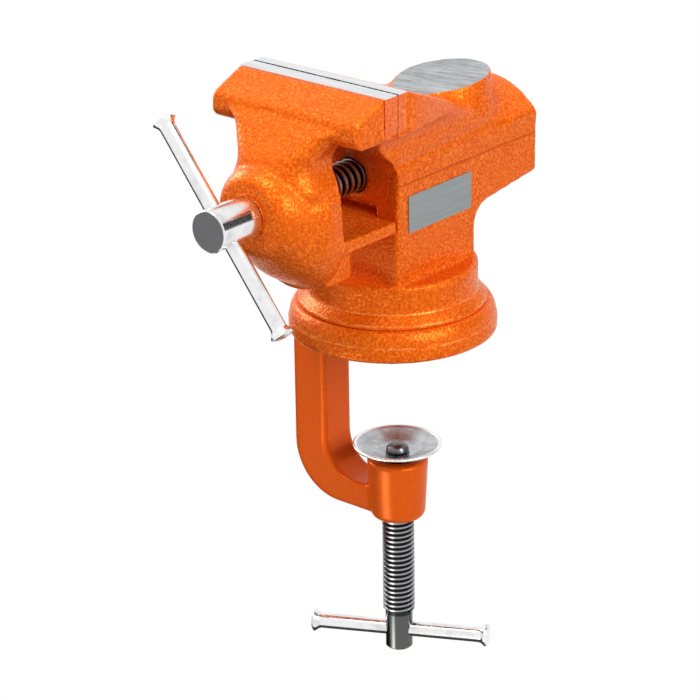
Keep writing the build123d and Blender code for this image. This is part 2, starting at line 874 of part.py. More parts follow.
def base_disc():
    """Round base that rests on the bench, part of the clamp casting."""
    return turned_z([
        (0, 0),
        (disc_radius - edge_softening, 0),
        (disc_radius, edge_softening),
        (disc_radius, disc_rim_height),
        (disc_shoulder_radius, disc_height - disc_shoulder_drop),
        (disc_top_radius, disc_height - fine_edge),
        (disc_top_radius - fine_edge, disc_height),
        (0, disc_height),
    ])


def clamp_column():
    """Column and lower arm of the C frame, with rounded edges."""
    root_z = 2 * edge_softening
    outline = polygon([
        (overrun - disc_radius, root_z),
        (-disc_radius - column_lip, 0),
        (column_outer_x, -column_head_drop),
        (column_outer_x, arm_bottom_z),
        (0, arm_bottom_z),
        (0, arm_top_z),
        (column_inner_x, arm_top_z),
        (column_inner_x, root_z),
    ])
    outline = soften(outline, (column_outer_x, arm_bottom_z), outer_bend)
    outline = soften(outline, (column_inner_x, arm_top_z), inner_bend)
    outline = soften(outline, (column_outer_x, -column_head_drop), column_head_drop)
    column = along_y(outline, -column_depth / 2, column_depth / 2)
    long_edges = column.faces().filter_by(Axis.Y).edges()
    arm_end = -overrun
    edges = [edge for edge in long_edges if edge.center().Z < root_z - fine_edge]
    return fillet([edge for edge in edges if edge.center().X < arm_end], column_edge_round)


def clamp_boss():
    """Tapered boss at the end of the arm that carries the clamp screw."""
    bevel = clamp_boss_round_share * clamp_boss_round
    return Pos(clamp_axis_x, 0, 0) * turned_z([
        (0, clamp_boss_top_z),
        (clamp_boss_top_radius - clamp_boss_edge, clamp_boss_top_z),
        (clamp_boss_top_radius, clamp_boss_top_z - clamp_boss_edge),
        (clamp_boss_bottom_radius, clamp_boss_bottom_z + clamp_boss_round),
        (clamp_boss_bottom_radius - bevel, clamp_boss_bottom_z + bevel),
        (clamp_boss_bottom_radius - clamp_boss_round, clamp_boss_bottom_z),
        (0, clamp_boss_bottom_z),
    ])


def clamp_frame():
    """Cast C frame: base disc, column, arm and screw boss in one piece."""
    casting = base_disc() + clamp_column() + clamp_boss()
    casting -= rod_z(pivot_radius + loose_fit, -overrun, disc_height + overrun)
    casting -= rod_z(pivot_recess_radius, -overrun, pivot_seat_z)
    below = clamp_boss_bottom_z - overrun
    above = clamp_boss_top_z + overrun
    return casting - rod_z(clamp_screw_radius + running_fit, below, above, clamp_axis_x)


def clamp_screw():
    """Clamp screw: riveted neck, thread and a drilled tail."""
    points = [
        (0, clamp_screw_bottom_z),
        (clamp_tail_radius - clamp_tail_edge, clamp_screw_bottom_z),
        (clamp_tail_radius, clamp_screw_bottom_z + clamp_tail_edge),
        (clamp_tail_radius, clamp_thread_bottom_z - fine_edge),
    ]
    points += thread_outline(
        clamp_screw_radius,
        clamp_thread_depth,
        clamp_pitch,
        clamp_thread_bottom_z,
        clamp_thread_top_z,
    )
    points += [
        (clamp_screw_radius - clamp_thread_depth, pad_bottom_z - joint_gap),
        (clamp_neck_radius, pad_bottom_z - joint_gap),
        (clamp_neck_radius, rivet_bottom_z + joint_gap),
        (clamp_rivet_radius, rivet_bottom_z + joint_gap),
        (clamp_rivet_side_radius, rivet_bottom_z + clamp_rivet_side_height),
        (clamp_rivet_crown_radius, rivet_bottom_z + clamp_rivet_crown_height),
        (0, rivet_bottom_z + clamp_rivet_height),
    ]
    bar_hole = Rot(0, 90, 0) * Cylinder(clamp_bar_radius + running_fit, 4 * clamp_tail_radius)
    bar_hole = Pos(0, 0, clamp_bar_z) * Rot(0, 0, clamp_bar_angle) * bar_hole
    return Pos(clamp_axis_x, 0, 0) * (turned_z(points) - bar_hole)


def clamp_handle():
    """Tommy bar of the clamp screw."""
    bar = Pos(clamp_bar_shift, 0, 0) * handle_bar(clamp_bar_radius, clamp_bar_length)
    return Pos(clamp_axis_x, 0, clamp_bar_z) * Rot(0, 0, clamp_bar_angle) * bar


def clamp_pad():
    """Pressed dish that bears on the underside of the bench."""
    hole = clamp_neck_radius + running_fit
    dish_floor_z = pad_bottom_z + pad_thickness
    return Pos(clamp_axis_x, 0, 0) * turned_z([
        (hole, pad_bottom_z),
        (pad_flat_radius, pad_bottom_z),
        (pad_radius - pad_wall_inset, pad_rim_z - pad_wall_drop),
        (pad_radius - pad_bead, pad_rim_z - pad_thickness),
        (pad_radius, pad_rim_z - pad_bead),
        (pad_radius - pad_bead, pad_rim_z),
        (pad_radius - pad_lip_inset, pad_rim_z - pad_lip_drop),
        (pad_radius - pad_wall_inset, pad_rim_z - pad_wall_drop + pad_thickness),
        (pad_flat_radius, dish_floor_z),
        (hole, dish_floor_z),
    ])


def hexagon(z_low, z_high):
    """A hexagon prism on the swivel axis, the size of the pivot's spanner."""
    half = pivot_head_across_flats / 2
    return along_z(RegularPolygon(half, 6, major_radius=False), z_low, z_high)


def pivot_bolt():
    """Hexagon bolt on the swivel axis, its head sunk under the disc."""
    head = hexagon(pivot_seat_z - pivot_head_height, pivot_seat_z)
    shank = rod_z(pivot_radius, pivot_seat_z - overrun, pivot_seat_z + pivot_length)
    end = shank.edges().filter_by(GeomType.CIRCLE).sort_by(Axis.Z)[-1]
    return head + chamfer(end, pivot_bolt_edge)


def ring(outer, inner, z_low, z_high):
    """A flat ring on the swivel axis."""
    return rod_z(outer, z_low, z_high) - rod_z(inner, z_low - overrun, z_high + overrun)


def pivot_washer():
    """Flat washer in the body's pocket."""
    return ring(washer_radius, pivot_radius + loose_fit, pivot_floor_z, washer_top_z)


def pivot_spring_washer():
    """Split spring washer that keeps the swivel stiff."""
    washer = ring(spring_washer_radius, pivot_radius + loose_fit, washer_top_z, spring_top_z)
    half = spring_washer_slot / 2
    past_side = spring_washer_radius + overrun
    cut = block(0, past_side, -half, half, washer_top_z - overrun, spring_top_z + overrun)
    return washer - cut


def pivot_nut():
    """Hexagon nut on the swivel bolt."""
    top_z = spring_top_z + pivot_nut_height
    bore = rod_z(pivot_radius + running_fit, spring_top_z - overrun, top_z + overrun)
    return hexagon(spring_top_z, top_z) - bore


os.makedirs("parts", exist_ok=True)
pieces = {
    "clamp_frame": clamp_frame(),
    "clamp_screw": clamp_screw(),
    "clamp_handle": clamp_handle(),
    "clamp_pad": clamp_pad(),
    "pivot_bolt": pivot_bolt(),
    "pivot_washer": pivot_washer(),
    "pivot_spring_washer": pivot_spring_washer(),
    "pivot_nut": pivot_nut(),
    "vise_body": vise_body(),
    "fixed_jaw_plate": jaw_plate(fixed_seat_y, fixed_face_y),
    "fixed_jaw_screws": plate_screws(fixed_seat_y, fixed_face_y),
    "spindle_nut": spindle_nut(),
    "nut_screw": nut_screw(),
    "name_plate": name_plate(),
    "moving_jaw": moving_jaw(),
    "moving_jaw_plate": jaw_plate(moving_seat_y, moving_face_y),
    "moving_jaw_screws": plate_screws(moving_seat_y, moving_face_y),
    "main_spindle": main_spindle(),
    "spindle_collar": spindle_collar(),
    "collar_pin": collar_pin(),
    "spindle_handle": spindle_handle(),
}
for name, piece in pieces.items():
    export_step(piece, "parts/" + name + ".step")
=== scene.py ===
"""Table-clamp bench vise: enamelled castings, ground jaw plates, plated bars and cut threads."""
import json
import math

import bpy
from mathutils import Matrix, Vector

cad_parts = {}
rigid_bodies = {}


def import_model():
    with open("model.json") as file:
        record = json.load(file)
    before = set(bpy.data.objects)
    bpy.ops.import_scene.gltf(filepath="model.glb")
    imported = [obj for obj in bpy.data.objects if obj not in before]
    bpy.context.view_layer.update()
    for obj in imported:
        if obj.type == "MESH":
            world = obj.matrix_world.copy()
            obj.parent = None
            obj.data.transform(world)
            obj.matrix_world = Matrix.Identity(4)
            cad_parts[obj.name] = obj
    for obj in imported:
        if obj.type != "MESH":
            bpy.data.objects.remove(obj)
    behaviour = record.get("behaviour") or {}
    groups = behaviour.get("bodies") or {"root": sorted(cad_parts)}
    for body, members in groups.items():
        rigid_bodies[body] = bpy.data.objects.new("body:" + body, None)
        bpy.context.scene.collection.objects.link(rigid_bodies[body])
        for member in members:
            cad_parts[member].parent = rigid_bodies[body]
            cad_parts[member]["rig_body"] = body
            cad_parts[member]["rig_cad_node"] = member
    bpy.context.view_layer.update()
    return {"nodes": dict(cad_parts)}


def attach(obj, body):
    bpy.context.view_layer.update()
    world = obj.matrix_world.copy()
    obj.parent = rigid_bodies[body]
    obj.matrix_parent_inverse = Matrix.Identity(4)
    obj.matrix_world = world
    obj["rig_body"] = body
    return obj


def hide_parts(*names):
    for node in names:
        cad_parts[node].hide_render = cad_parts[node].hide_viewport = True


MM = 0.001

# ---- colours, linear --------------------------------------------------------
ORANGE = (0.86, 0.135, 0.004, 1)
ORANGE_DEEP = (0.70, 0.085, 0.002, 1)
ORANGE_LIGHT = (1.0, 0.22, 0.02, 1)
ORANGE_GLOSS = (1.0, 0.62, 0.24, 1)
# Darker, redder enamel colour painted on the clamp below the disc as shade.
ORANGE_PAINTED_SHADE = (0.78, 0.102, 0.006, 1)
# Pale orange of the painted highlight lines on the turned edges.
ORANGE_PAINTED_HIGHLIGHT = (1.0, 0.42, 0.13, 1)
GROUND_LIGHT = (0.86, 0.87, 0.88, 1)
GROUND_DARK = (0.62, 0.63, 0.65, 1)
ANVIL_LIGHT = (0.60, 0.62, 0.63, 1)
ANVIL_DARK = (0.20, 0.21, 0.22, 1)
PLATED = (0.86, 0.86, 0.86, 1)
PLATED_DULL = (0.68, 0.68, 0.69, 1)
# Near black: the oiled steel, and also the painted shade line at the jaws' gap.
NEAR_BLACK = (0.012, 0.012, 0.013, 1)
SPINDLE_CREST = (0.42, 0.42, 0.43, 1)
SPINDLE_FACE_DARK = (0.11, 0.11, 0.115, 1)
SPINDLE_FACE_LIGHT = (0.21, 0.21, 0.215, 1)
CLAMP_THREAD_DARK = (0.03, 0.03, 0.032, 1)
CLAMP_CREST = (0.36, 0.36, 0.37, 1)
CLAMP_TAIL = (0.11, 0.115, 0.11, 1)
# Near-white colour of the painted highlight on the pad's rolled rim.
PAD_RIM_HIGHLIGHT = (0.88, 0.87, 0.86, 1)
ZINC = (0.60, 0.61, 0.63, 1)
ZINC_DULL = (0.40, 0.41, 0.43, 1)
IRON = (0.14, 0.14, 0.145, 1)
IRON_DARK = (0.07, 0.07, 0.072, 1)
LABEL = (0.30, 0.33, 0.33, 1)
LABEL_DARK = (0.25, 0.275, 0.275, 1)
FLOOR_PALE = (0.9, 0.9, 0.9, 1)
CARD_BLACK = (0.02, 0.02, 0.02, 1)
WHITE = (1, 1, 1, 1)

# ---- paint: metallic share, specular level, depth of the ripple -------------
PAINT_METAL = 0.19
PAINT_GLOSS = 0.25
PAINT_DEPTH = 0.18

# ---- places on the vise, millimetres ---------------------------------------
JAW_HALF = 30.0
JAW_TOP_Z = 94.3
JAW_GAP_Y = -32.4
BODY_HALF = 19.3
PARTING_Z = 58.2
PARTING_WIDTH = 0.45
ANVIL_Y = 26.2
ANVIL_TOP_Z = 80.7
ANVIL_RADIUS = 16.4
ANVIL_RISE_Y = 0.1104
ANVIL_RISE_X = 0.0769
SPINDLE_Z = 58.3
HEAD_RADIUS = 6.95
HEAD_FRONT_Y = -88.0
HEAD_REAR_Y = -70.2
HEAD_EDGE = 0.5
HEAD_SHOULDER = 0.9
HEAD_RING_PITCH = 0.62
JOURNAL_RADIUS = 5.6
SPINDLE_ROOT = 4.3
SPINDLE_PITCH = 3.0
SPINDLE_OILED_Y = -58.0
SPINDLE_THREAD_Y = -44.5
SPINDLE_TURNS = 30
SPINDLE_REAR_Y = 50.0
SPINDLE_BAR_Y = -81.4
SPINDLE_BAR_ANGLE = 51.7
SPINDLE_BAR_LENGTH = 78.0
BAR_RADIUS = 2.65
BAR_PLAY = 0.06
BAR_SHIFT = 0.4
BUTTON_RADIUS = 3.9
CLAMP_X = 1.5
CLAMP_RADIUS = 5.5
CLAMP_ROOT = 4.65
CLAMP_PITCH = 1.75
CLAMP_THREAD_Z = -105.6
CLAMP_TURNS = 32
CLAMP_TAIL_RADIUS = 4.7
CLAMP_TAIL_EDGE = 0.5
CLAMP_BOTTOM_Z = -119.0
CLAMP_BAR_Z = -112.4
CLAMP_BAR_ANGLE = 27.5
CLAMP_BAR_LENGTH = 62.8
THREAD_CORNER = 0.3
THREAD_RUN_OUT = 1.2
PAD_RADIUS = 15.3
PAD_RIM_Z = -42.0
PAD_FLOOR_Z = -46.6
PAD_SHEET = 1.2
PAD_HOLE_RADIUS = 3.06
PAD_FLAT_RADIUS = 5.4
PAD_RING_PITCH = 0.9
RIVET_NECK_RADIUS = 3.0

# Crisp edges turned on the turntable and on the base disc, (radius, z).
TURNTABLE_EDGE = [
    (24.0, 10.52),
    (31.2, 10.52),
    (31.45, 10.7),
    (31.5, 11.0),
    (31.45, 11.5),
    (31.2, 11.85),
    (29.4, 13.9),
    (28.9, 14.4),
    (28.6, 14.75),
    (28.44, 15.3),
    (28.42, 16.0),
    (24.0, 16.0),
    (24.0, 10.52),
]
DISC_EDGE = [
    (26.0, 2.4),
    (34.8, 2.4),
    (34.8, 4.5),
    (34.72, 4.9),
    (34.5, 5.25),
    (34.25, 6.2),
    (34.0, 7.9),
    (33.6, 8.8),
    (33.0, 9.75),
    (32.6, 10.2),
    (32.2, 10.4),
    (26.0, 10.4),
    (26.0, 2.4),
]

# Painted highlight lines on those edges, (z, width).
TURNTABLE_HIGHLIGHTS = ((14.8, 0.3), (11.75, 0.35))
DISC_HIGHLIGHT = (5.35, 0.35)

# The soft ledge along each cheek, below the crown.
LEDGE_Z = 66.3
LEDGE_SLOPE = 0.06
LEDGE_DEPTH = 0.9
LEDGE_SOFTNESS = 2.2
LEDGE_REACH = 8.0

# ---- fineness of the meshes: steps of a turn, millimetres, rounds -----------
LATHE_STEPS = 72
EDGE_STEPS = 160
THREAD_STEPS = 48
BODY_GRAIN = 0.78
FINE_GRAIN = 0.62
FOOT_ROUNDS = 130
WELD = 0.002

# ---- stage: millimetres, strength, degrees ----------------------------------
FLOOR_Z = -300.0
FLOOR_RADIUS = 200.0
WORLD_LIGHT = 0.26
CAMERA_ANGLES = (40.75, 22.26, 0.89)
CAMERA_PLACE = (-14.30, -8.25, 1034.39)
CAMERA_LENS = 159.583


# ---- modelling helpers ------------------------------------------------------
def only(piece):
    """Leaves one object selected and active."""
    bpy.ops.object.select_all(action="DESELECT")
    piece.select_set(True)
    bpy.context.view_layer.objects.active = piece


def apply_all(piece):
    """Applies every modifier of a piece in turn."""
    only(piece)
    for modifier in list(piece.modifiers):
        bpy.ops.object.modifier_apply(modifier=modifier.name)


def shade(piece, degrees):
    """Shades a piece smooth and leaves the edges sharper than an angle crisp."""
    only(piece)
    bpy.ops.object.shade_smooth_by_angle(angle=math.radians(degrees))


def close_up(piece):
    """Merges doubles and points the faces outwards."""
    only(piece)
    bpy.ops.object.mode_set(mode="EDIT")
    bpy.ops.mesh.select_all(action="SELECT")
    bpy.ops.mesh.remove_doubles(threshold=WELD * MM)
    bpy.ops.mesh.normals_make_consistent(inside=False)
    bpy.ops.object.mode_set(mode="OBJECT")


def settle(piece, place, angles=(0, 0, 0)):
    """Puts a piece in its place and applies that to the mesh."""
    piece.location = Vector(place) * MM
    piece.rotation_euler = [math.radians(a) for a in angles]
    only(piece)
    bpy.ops.object.transform_apply(location=True, rotation=True, scale=True)


def start_profile(name, points):
    """A new piece that is one open line, drawn point by point in millimetres."""
    bpy.ops.object.select_all(action="DESELECT")
    bpy.ops.mesh.primitive_plane_add(size=MM, location=(0, 0, 0))
    piece = bpy.context.object
    piece.name = name
    bpy.ops.object.mode_set(mode="EDIT")
    bpy.ops.mesh.select_all(action="SELECT")
    bpy.ops.mesh.merge(type="CENTER")
    places = [Vector(p) * MM for p in points]
    bpy.ops.transform.translate(value=places[0])
    for here, there in zip(places, places[1:]):
        bpy.ops.mesh.extrude_region_move(TRANSFORM_OT_translate={"value": there - here})
    bpy.ops.object.mode_set(mode="OBJECT")
    return piece


def turn(piece, axis, steps=LATHE_STEPS, pitch=0.0, turns=1):
    """Turns the open line about an axis through the origin, or winds it to a helix."""
    screw = piece.modifiers.new("turn", "SCREW")
    screw.axis = axis
    screw.steps = steps
    screw.render_steps = steps
    screw.screw_offset = pitch * MM
    screw.iterations = turns
    screw.use_merge_vertices = True
    screw.merge_threshold = WELD * MM
    apply_all(piece)
    close_up(piece)
    return piece


def lathe(name, profile, axis="Z", **winding):
    """A turned piece about the Y or the Z axis from (radius, place) points."""
    points = [(r, place, 0) if axis == "Y" else (r, 0, place) for r, place in profile]
    return turn(start_profile(name, points), axis, **winding)


def cutter(radius, depth, sides):
    """A plain cylinder at the origin, for a boolean cut."""
    bpy.ops.object.select_all(action="DESELECT")
    bpy.ops.mesh.primitive_cylinder_add(vertices=sides, radius=radius * MM, depth=depth * MM)
    return bpy.context.object


def combine(piece, tool, operation):
    """Adds a tool's solid to a piece, or takes it away, and removes the tool."""
    change = piece.modifiers.new("combine", "BOOLEAN")
    change.operation = operation
    change.solver = "EXACT"
    change.material_mode = "TRANSFER"
    change.object = tool
    apply_all(piece)
    bpy.data.objects.remove(tool)


def join(main, *others):
    """Joins other pieces into the main one."""
    bpy.ops.object.select_all(action="DESELECT")
    for other in others:
        other.select_set(True)
    main.select_set(True)
    bpy.context.view_layer.objects.active = main
    bpy.ops.object.join()
    return main


def wear(piece, material):
    """Gives a piece its only material."""
    piece.data.materials.clear()
    piece.data.materials.append(material)


def fit_piece(piece, body, node, material):
    """Finishes a new piece: its material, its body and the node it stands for."""
    wear(piece, material)
    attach(piece, body)
    if node:
        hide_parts(node)


# ---- node helpers -----------------------------------------------------------
class Nodes:
    """Short ways to add and link the nodes of one tree."""

    def __init__(self, tree):
        self.tree = tree

    def add(self, kind, inputs=None, **settings):
        """A new node with its settings, each input linked to a socket or set to a value."""
        node = self.tree.nodes.new(kind)
        for key, value in settings.items():
            setattr(node, key, value)
        for key, value in (inputs or {}).items():
            self.feed(node.inputs[key], value)
        return node

    def feed(self, socket, value):
        """Links a socket to another one, or sets its value."""
        if isinstance(value, bpy.types.NodeSocket):
            self.tree.links.new(value, socket)
        else:
            socket.default_value = value

    def math(self, operation, a, b=0.0):
        """The result of a sum on one or two numbers."""
        return self.add("ShaderNodeMath", {0: a, 1: b}, operation=operation).outputs[0]

    def smooth(self, value, low, high):
        """0 below low, 1 above high, eased between them."""
        inputs = {"Value": value, "From Min": low, "From Max": high}
        return self.add("ShaderNodeMapRange", inputs, interpolation_type="SMOOTHSTEP").outputs[0]

    def past(self, value, low, high):
        """The same for a length, with its limits in millimetres."""
        return self.smooth(value, low * MM, high * MM)

    def away(self, value, place):
        """Distance to either side of a place in millimetres."""
        return self.math("ABSOLUTE", self.math("SUBTRACT", value, place * MM))

    def mix(self, share, a, b):
        """Colour a where the share is 0, and colour b where it is 1."""
        node = self.add("ShaderNodeMix", {0: share}, data_type="RGBA")
        self.feed(node.inputs[6], a)
        self.feed(node.inputs[7], b)
        return node.outputs[2]

    def blend(self, share, a, b):
        """The same for two numbers."""
        return self.add("ShaderNodeMix", {0: share, 2: a, 3: b}, data_type="FLOAT").outputs[0]

    def place(self):
        """The point of the piece that is shaded, whole and as its x, y and z, in metres."""
        coordinate = self.add("ShaderNodeTexCoord").outputs["Object"]
        split = self.add("ShaderNodeSeparateXYZ", {0: coordinate})
        return coordinate, split.outputs

    def noise(self, vector, scale, detail=2.0, roughness=0.5):
        """Soft spots, finer with a larger scale."""
        inputs = {"Vector": vector, "Scale": scale, "Detail": detail, "Roughness": roughness}
        return self.add("ShaderNodeTexNoise", inputs).outputs["Fac"]

    def lines(self, vector, scales, detail=3.0, roughness=0.6):
        """Noise drawn out along the axis that has the smallest of the three scales."""
        stretched = self.add("ShaderNodeMapping", {"Vector": vector, "Scale": scales}).outputs[0]
        return self.noise(stretched, 1.0, detail, roughness)

    def radius(self, a, b):
        """Distance from an axis, from the two offsets across it."""
        square = self.math("ADD", self.math("MULTIPLY", a, a), self.math("MULTIPLY", b, b))
        return self.math("SQRT", square)

    def rings(self, radius, pitch):
        """A wave from -1 to 1 that draws rings a pitch apart, in millimetres."""
        return self.math("SINE", self.math("MULTIPLY", radius, 2 * math.pi / (pitch * MM)))


# ---- shared effects ---------------------------------------------------------
def effect(name, outputs):
    """An empty node group with named outputs; returns its helper and output node."""
    group = bpy.data.node_groups.new(name, "ShaderNodeTree")
    for label in outputs:
        kind = "NodeSocketColor" if label == "Color" else "NodeSocketFloat"
        group.interface.new_socket(name=label, in_out="OUTPUT", socket_type=kind)
    nodes = Nodes(group)
    return nodes, nodes.add("NodeGroupOutput")


def hammered_enamel():
    """Orange enamel with the fine pooled ripple of hammered paint."""
    nodes, out = effect("hammered enamel", ("Color", "Roughness", "Height"))
    coordinate, _ = nodes.place()
    ripple = nodes.noise(coordinate, scale=1150, detail=1.0)
    coarse = nodes.noise(coordinate, scale=560, detail=1.0)
    slow = nodes.noise(coordinate, scale=70)
    height = nodes.math("ADD", ripple, nodes.math("MULTIPLY", coarse, 0.8))
    colour = nodes.mix(nodes.smooth(ripple, 0.36, 0.5), ORANGE_DEEP, ORANGE)
    colour = nodes.mix(nodes.smooth(ripple, 0.54, 0.66), colour, ORANGE_LIGHT)
    calm = nodes.math("MULTIPLY", nodes.smooth(slow, 0.45, 0.8), 0.6)
    nodes.feed(out.inputs["Color"], nodes.mix(calm, colour, ORANGE))
    nodes.feed(out.inputs["Roughness"], nodes.blend(nodes.smooth(ripple, 0.4, 0.6), 0.32, 0.2))
    nodes.feed(out.inputs["Height"], height)
    return nodes.tree


def ground_lines():
    """Bare steel with the fine straight lines that a surface grinder leaves along X."""
    nodes, out = effect("ground lines", ("Shade", "Roughness", "Height"))
    coordinate, _ = nodes.place()
    line = nodes.lines(coordinate, (60, 2600, 2600))
    broad = nodes.lines(coordinate, (25, 420, 420), detail=2.0, roughness=0.5)
    tone = nodes.blend(0.4, nodes.smooth(line, 0.3, 0.7), nodes.smooth(broad, 0.3, 0.7))
    nodes.feed(out.inputs["Shade"], tone)
    nodes.feed(out.inputs["Roughness"], nodes.blend(tone, 0.42, 0.28))
    nodes.feed(out.inputs["Height"], line)
    return nodes.tree


def drawn_plating():
    """Bright plating over drawn bar: faint clouds and small dull spots."""
    nodes, out = effect("drawn plating", ("Color", "Roughness", "Height"))
    coordinate, _ = nodes.place()
    cloud = nodes.noise(coordinate, scale=190, detail=4.0, roughness=0.6)
    speck = nodes.noise(coordinate, scale=1500, roughness=0.6)
    nodes.feed(out.inputs["Color"], nodes.mix(nodes.smooth(cloud, 0.3, 0.55), PLATED_DULL, PLATED))
    nodes.feed(out.inputs["Roughness"], nodes.blend(nodes.smooth(speck, 0.4, 0.7), 0.13, 0.19))
    nodes.feed(out.inputs["Height"], speck)
    return nodes.tree


def zinc_finish():
    """Zinc plating with a mottled, slightly cloudy skin."""
    nodes, out = effect("zinc finish", ("Color", "Roughness", "Height"))
    coordinate, _ = nodes.place()
    cloud = nodes.noise(coordinate, scale=260, detail=4.0, roughness=0.6)
    grain = nodes.noise(coordinate, scale=1900)
    nodes.feed(out.inputs["Color"], nodes.mix(nodes.smooth(cloud, 0.35, 0.65), ZINC_DULL, ZINC))
    nodes.feed(out.inputs["Roughness"], nodes.blend(nodes.smooth(grain, 0.3, 0.7), 0.24, 0.38))
    nodes.feed(out.inputs["Height"], grain)
    return nodes.tree


# ---- materials --------------------------------------------------------------
def surface(name, metallic=0.0):
    """A new material; returns it with its helper and its Principled node."""
    material = bpy.data.materials.new(name)
    material.use_nodes = True
    nodes = Nodes(material.node_tree)
    shader = material.node_tree.nodes["Principled BSDF"]
    shader.inputs["Metallic"].default_value = metallic
    return material, nodes, shader


def use_effect(nodes, tree):
    """Adds a shared effect to a material and returns its outputs."""
    return nodes.add("ShaderNodeGroup", node_tree=tree).outputs


def enamelled(name, effects):
    """A new enamel material with its helper, its Principled node and the paint's outputs."""
    material, nodes, shader = surface(name, metallic=PAINT_METAL)
    shader.inputs["Specular IOR Level"].default_value = PAINT_GLOSS
    shader.inputs["Specular Tint"].default_value = ORANGE_GLOSS
    return material, nodes, shader, use_effect(nodes, effects["enamel"])


def dress(nodes, shader, colour, roughness, height, depth):
    """Feeds the shader's colour, its roughness and a bump, with its depth in millimetres."""
    nodes.feed(shader.inputs["Base Color"], colour)
    nodes.feed(shader.inputs["Roughness"], roughness)
    bump = nodes.add("ShaderNodeBump", {"Height": height, "Distance": depth * MM})
    nodes.feed(shader.inputs["Normal"], bump.outputs[0])


def painted_edge_highlight(nodes, coordinate, z, place, width):
    """A broken painted highlight line along a turned edge."""
    line = nodes.math("MULTIPLY", nodes.past(nodes.away(z, place), width, 0.2 * width), 0.75)
    breaks = nodes.noise(coordinate, scale=330, detail=3.0, roughness=0.7)
    return nodes.math("MULTIPLY", line, nodes.smooth(breaks, 0.38, 0.62))


def frame_material(effects):
    """Enamel of the clamp frame: rippled on the disc; calm and smooth on the clamp, which is painted
    darker and redder as shade; a painted highlight line on the disc's rim.
    """
    material, nodes, shader, paint = enamelled("enamelled frame", effects)
    coordinate, (x, y, z) = nodes.place()
    # Below the disc the ripple calms and the colour turns to a painted darker, redder shade.
    calm = nodes.math("MULTIPLY", nodes.past(z, 1.0, -4.0), 0.85)
    # A painted highlight line along the disc's turned rim.
    on_rim = nodes.past(nodes.radius(x, y), 33.0, 34.0)
    edge = nodes.math("MULTIPLY", painted_edge_highlight(nodes, coordinate, z, *DISC_HIGHLIGHT), on_rim)
    colour = nodes.mix(calm, paint["Color"], ORANGE_PAINTED_SHADE)
    colour = nodes.mix(edge, colour, ORANGE_PAINTED_HIGHLIGHT)
    roughness = nodes.blend(calm, paint["Roughness"], 0.3)
    height = nodes.math("MULTIPLY", paint["Height"], nodes.math("SUBTRACT", 1.0, calm))
    dress(nodes, shader, colour, roughness, height, PAINT_DEPTH)
    return material


def enamel_material(effects):
    """Enamel all over, for the moving jaw."""
    material, nodes, shader, paint = enamelled("orange enamel", effects)
    dress(nodes, shader, paint["Color"], paint["Roughness"], paint["Height"], PAINT_DEPTH)
    return material


def body_material(effects):
    """Enamel with the parting line of the mould along both cheeks and painted highlight lines on the
    turntable edges.
    """
    material, nodes, shader, paint = enamelled("enamelled body", effects)
    coordinate, (x, y, z) = nodes.place()
    groove = nodes.past(nodes.away(z, PARTING_Z), PARTING_WIDTH, 0.0)
    on_cheek = nodes.past(nodes.math("ABSOLUTE", x), BODY_HALF - 0.9, BODY_HALF - 0.6)
    groove = nodes.math("MULTIPLY", groove, on_cheek)
    # Painted highlight lines along the turntable's turned edges.
    upper, lower = (painted_edge_highlight(nodes, coordinate, z, *line) for line in TURNTABLE_HIGHLIGHTS)
    on_rim = nodes.past(nodes.radius(x, y), 27.4, 28.0)
    edge = nodes.math("MULTIPLY", nodes.math("MAXIMUM", upper, lower), on_rim)
    colour = nodes.mix(edge, paint["Color"], ORANGE_PAINTED_HIGHLIGHT)
    colour = nodes.mix(groove, colour, ORANGE_DEEP)
    height = nodes.math("SUBTRACT", paint["Height"], nodes.math("MULTIPLY", groove, 1.5))
    dress(nodes, shader, colour, paint["Roughness"], height, PAINT_DEPTH)
    return material


def anvil_material(effects):
    """Bare ground face of the anvil, greyer than the jaws."""
    material, nodes, shader = surface("ground anvil", metallic=1.0)
    steel = use_effect(nodes, effects["ground"])
    colour = nodes.mix(steel["Shade"], ANVIL_DARK, ANVIL_LIGHT)
    dress(nodes, shader, colour, steel["Roughness"], steel["Height"], depth=0.02)
    return material


def jaw_plate_material(effects):
    """Ground steel whose two ends are enamelled over, with a painted shade line at the jaws' gap."""
    material, nodes, shader = surface("ground jaw plate")
    paint = use_effect(nodes, effects["enamel"])
    steel = use_effect(nodes, effects["ground"])
    coordinate, (x, y, z) = nodes.place()
    end = nodes.past(nodes.math("ABSOLUTE", x), JAW_HALF - 0.8, JAW_HALF - 0.6)
    end = nodes.math("MULTIPLY", end, nodes.past(z, JAW_TOP_Z - 0.15, JAW_TOP_Z - 0.35))
    metal = nodes.mix(steel["Shade"], GROUND_DARK, GROUND_LIGHT)
    # A near-black painted shade line along the jaws' gap, wandering a little, on the top edges of the
    # plates.
    wander = nodes.noise(coordinate, scale=160, roughness=0.6)
    wander = nodes.math("MULTIPLY", wander, 0.75 * MM)
    from_gap = nodes.math("SUBTRACT", nodes.away(y, JAW_GAP_Y), wander)
    near_top = nodes.past(z, JAW_TOP_Z - 0.7, JAW_TOP_Z - 0.4)
    painted_gap_shade = nodes.math("MULTIPLY", nodes.past(from_gap, 0.12, 0.0), near_top)
    metal = nodes.mix(painted_gap_shade, metal, NEAR_BLACK)
    colour = nodes.mix(end, metal, paint["Color"])
    roughness = nodes.blend(end, steel["Roughness"], paint["Roughness"])
    height = nodes.blend(end, nodes.math("MULTIPLY", steel["Height"], 0.1), paint["Height"])
    nodes.feed(shader.inputs["Metallic"], nodes.blend(end, 1.0, PAINT_METAL))
    dress(nodes, shader, colour, roughness, height, PAINT_DEPTH)
    return material


